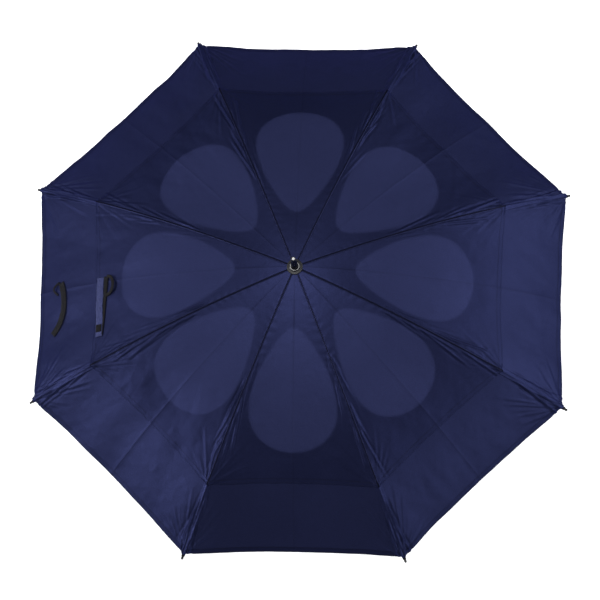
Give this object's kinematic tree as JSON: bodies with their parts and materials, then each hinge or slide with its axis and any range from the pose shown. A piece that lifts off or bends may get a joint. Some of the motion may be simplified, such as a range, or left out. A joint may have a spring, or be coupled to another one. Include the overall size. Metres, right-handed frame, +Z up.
{
  "type": "golf umbrella",
  "caption": "Open double-canopy golf umbrella with vented lower cloth, bowed ribs, folding stretchers, sliding runner, ferrule and straight foam grip.",
  "frame": {"origin": "on the shaft's axis, at the middle of the straight grip", "axes": "+Z up along the shaft to the ferrule; rib 1 at 22.5 degrees from +X towards +Y, numbered anticlockwise seen from above"},
  "size_m": [1.3056, 1.3056, 1.0279],
  "materials": {
    "shaft_fibreglass": "satin black fibreglass",
    "rib_fibreglass": "black fibreglass rod",
    "black_plastic": "moulded black nylon",
    "gloss_black_plastic": "polished black plastic",
    "steel": "bright zinc",
    "stretcher_steel": "black lacquered steel channel",
    "grip_foam": "closed-cell foam",
    "canopy_cloth": "navy pongee",
    "black_webbing": "woven black tape"
  },
  "bodies": {
    "shaft": {"shaft": "shaft_fibreglass", "crown": "black_plastic", "crown_ring": "steel", "crown_pin": "steel", "catch_pins": "steel", "handle_pin": "steel", "handle_core": "black_plastic", "handle_grip": "grip_foam", "handle_end_cap": "black_plastic", "handle_collar": "black_plastic", "top_cap": "black_plastic", "ferrule_collar": "gloss_black_plastic", "ferrule": "gloss_black_plastic"},
    "runner": {"runner": "black_plastic", "runner_ring": "steel"},
    "top_catch": {"top_catch": "steel"},
    "bottom_catch": {"bottom_catch": "steel"},
    "rib_1": {"rib_1": "rib_fibreglass", "rib_fittings_1": "black_plastic", "lower_canopy_gore_1": "canopy_cloth", "upper_canopy_gore_1": "canopy_cloth"},
    "stretcher_1": {"stretcher_1": "stretcher_steel"},
    "rib_2": {"rib_2": "rib_fibreglass", "rib_fittings_2": "black_plastic", "lower_canopy_gore_2": "canopy_cloth", "upper_canopy_gore_2": "canopy_cloth"},
    "stretcher_2": {"stretcher_2": "stretcher_steel"},
    "rib_3": {"rib_3": "rib_fibreglass", "rib_fittings_3": "black_plastic", "lower_canopy_gore_3": "canopy_cloth", "upper_canopy_gore_3": "canopy_cloth"},
    "stretcher_3": {"stretcher_3": "stretcher_steel"},
    "rib_4": {"rib_4": "rib_fibreglass", "rib_fittings_4": "black_plastic", "lower_canopy_gore_4": "canopy_cloth", "upper_canopy_gore_4": "canopy_cloth"},
    "stretcher_4": {"stretcher_4": "stretcher_steel"},
    "rib_5": {"rib_5": "rib_fibreglass", "rib_fittings_5": "black_plastic", "lower_canopy_gore_5": "canopy_cloth", "upper_canopy_gore_5": "canopy_cloth", "upper_tie_strap": "canopy_cloth", "strap_hook_patch": "black_webbing", "lower_tie_strap": "black_webbing"},
    "stretcher_5": {"stretcher_5": "stretcher_steel"},
    "rib_6": {"rib_6": "rib_fibreglass", "rib_fittings_6": "black_plastic", "lower_canopy_gore_6": "canopy_cloth", "upper_canopy_gore_6": "canopy_cloth"},
    "stretcher_6": {"stretcher_6": "stretcher_steel"},
    "rib_7": {"rib_7": "rib_fibreglass", "rib_fittings_7": "black_plastic", "lower_canopy_gore_7": "canopy_cloth", "upper_canopy_gore_7": "canopy_cloth"},
    "stretcher_7": {"stretcher_7": "stretcher_steel"},
    "rib_8": {"rib_8": "rib_fibreglass", "rib_fittings_8": "black_plastic", "lower_canopy_gore_8": "canopy_cloth", "upper_canopy_gore_8": "canopy_cloth"},
    "stretcher_8": {"stretcher_8": "stretcher_steel"}
  },
  "joints": [
    {"name": "canopy_fold", "type": "hinge", "parent": "shaft", "child": "rib_1", "pos_m": [0.01109, 0.00459, 0.85], "axis": [-0.3827, 0.9239, 0], "range_deg": [0, 64], "deforming": ["lower_canopy_gore_1", "upper_canopy_gore_1"]},
    {"name": "stretcher_1_hinge", "type": "hinge", "parent": "rib_1", "child": "stretcher_1", "pos_m": [0.32743, 0.13563, 0.76412], "axis": [-0.3827, 0.9239, 0], "range_deg": [-128, 0]},
    {"name": "rib_2_fold", "type": "hinge", "parent": "shaft", "child": "rib_2", "pos_m": [0.00459, 0.01109, 0.85], "axis": [-0.9239, 0.3827, 0], "range_deg": [0, 64], "deforming": ["lower_canopy_gore_2", "upper_canopy_gore_2"]},
    {"name": "stretcher_2_hinge", "type": "hinge", "parent": "rib_2", "child": "stretcher_2", "pos_m": [0.13563, 0.32743, 0.76412], "axis": [-0.9239, 0.3827, 0], "range_deg": [-128, 0]},
    {"name": "rib_3_fold", "type": "hinge", "parent": "shaft", "child": "rib_3", "pos_m": [-0.00459, 0.01109, 0.85], "axis": [-0.9239, -0.3827, 0], "range_deg": [0, 64], "deforming": ["lower_canopy_gore_3", "upper_canopy_gore_3"]},
    {"name": "stretcher_3_hinge", "type": "hinge", "parent": "rib_3", "child": "stretcher_3", "pos_m": [-0.13563, 0.32743, 0.76412], "axis": [-0.9239, -0.3827, 0], "range_deg": [-128, 0]},
    {"name": "rib_4_fold", "type": "hinge", "parent": "shaft", "child": "rib_4", "pos_m": [-0.01109, 0.00459, 0.85], "axis": [-0.3827, -0.9239, 0], "range_deg": [0, 64], "deforming": ["lower_canopy_gore_4", "upper_canopy_gore_4"]},
    {"name": "stretcher_4_hinge", "type": "hinge", "parent": "rib_4", "child": "stretcher_4", "pos_m": [-0.32743, 0.13563, 0.76412], "axis": [-0.3827, -0.9239, 0], "range_deg": [-128, 0]},
    {"name": "rib_5_fold", "type": "hinge", "parent": "shaft", "child": "rib_5", "pos_m": [-0.01109, -0.00459, 0.85], "axis": [0.3827, -0.9239, 0], "range_deg": [0, 64], "deforming": ["lower_canopy_gore_5", "upper_canopy_gore_5", "upper_tie_strap", "strap_hook_patch", "lower_tie_strap"]},
    {"name": "stretcher_5_hinge", "type": "hinge", "parent": "rib_5", "child": "stretcher_5", "pos_m": [-0.32743, -0.13563, 0.76412], "axis": [0.3827, -0.9239, 0], "range_deg": [-128, 0]},
    {"name": "rib_6_fold", "type": "hinge", "parent": "shaft", "child": "rib_6", "pos_m": [-0.00459, -0.01109, 0.85], "axis": [0.9239, -0.3827, 0], "range_deg": [0, 64], "deforming": ["lower_canopy_gore_6", "upper_canopy_gore_6"]},
    {"name": "stretcher_6_hinge", "type": "hinge", "parent": "rib_6", "child": "stretcher_6", "pos_m": [-0.13563, -0.32743, 0.76412], "axis": [0.9239, -0.3827, 0], "range_deg": [-128, 0]},
    {"name": "rib_7_fold", "type": "hinge", "parent": "shaft", "child": "rib_7", "pos_m": [0.00459, -0.01109, 0.85], "axis": [0.9239, 0.3827, 0], "range_deg": [0, 64], "deforming": ["lower_canopy_gore_7", "upper_canopy_gore_7"]},
    {"name": "stretcher_7_hinge", "type": "hinge", "parent": "rib_7", "child": "stretcher_7", "pos_m": [0.13563, -0.32743, 0.76412], "axis": [0.9239, 0.3827, 0], "range_deg": [-128, 0]},
    {"name": "rib_8_fold", "type": "hinge", "parent": "shaft", "child": "rib_8", "pos_m": [0.01109, -0.00459, 0.85], "axis": [0.3827, 0.9239, 0], "range_deg": [0, 64], "deforming": ["lower_canopy_gore_8", "upper_canopy_gore_8"]},
    {"name": "stretcher_8_hinge", "type": "hinge", "parent": "rib_8", "child": "stretcher_8", "pos_m": [0.32743, -0.13563, 0.76412], "axis": [0.3827, 0.9239, 0], "range_deg": [-128, 0]},
    {"name": "runner_hinge", "type": "hinge", "parent": "stretcher_1", "child": "runner", "pos_m": [0.01109, 0.00459, 0.67823], "axis": [-0.3827, 0.9239, 0], "range_deg": [0, 64]},
    {"name": "top_catch_press", "type": "hinge", "parent": "shaft", "child": "top_catch", "pos_m": [0, 0, 0.60173], "axis": [0, -1, 0], "range_deg": [0, 7], "stiffness_Nm_per_rad": 0.05, "springref_deg": -11.46},
    {"name": "bottom_catch_press", "type": "hinge", "parent": "shaft", "child": "bottom_catch", "pos_m": [0, 0, 0.15569], "axis": [0, 1, 0], "range_deg": [0, 7], "stiffness_Nm_per_rad": 0.05, "springref_deg": -11.46}
  ],
  "couplings": [
    {"joint": "stretcher_1_hinge", "follows": "canopy_fold", "ratio": -2},
    {"joint": "rib_2_fold", "follows": "canopy_fold", "ratio": 1},
    {"joint": "stretcher_2_hinge", "follows": "canopy_fold", "ratio": -2},
    {"joint": "rib_3_fold", "follows": "canopy_fold", "ratio": 1},
    {"joint": "stretcher_3_hinge", "follows": "canopy_fold", "ratio": -2},
    {"joint": "rib_4_fold", "follows": "canopy_fold", "ratio": 1},
    {"joint": "stretcher_4_hinge", "follows": "canopy_fold", "ratio": -2},
    {"joint": "rib_5_fold", "follows": "canopy_fold", "ratio": 1},
    {"joint": "stretcher_5_hinge", "follows": "canopy_fold", "ratio": -2},
    {"joint": "rib_6_fold", "follows": "canopy_fold", "ratio": 1},
    {"joint": "stretcher_6_hinge", "follows": "canopy_fold", "ratio": -2},
    {"joint": "rib_7_fold", "follows": "canopy_fold", "ratio": 1},
    {"joint": "stretcher_7_hinge", "follows": "canopy_fold", "ratio": -2},
    {"joint": "rib_8_fold", "follows": "canopy_fold", "ratio": 1},
    {"joint": "stretcher_8_hinge", "follows": "canopy_fold", "ratio": -2},
    {"joint": "runner_hinge", "follows": "canopy_fold", "ratio": 1}
  ]
}
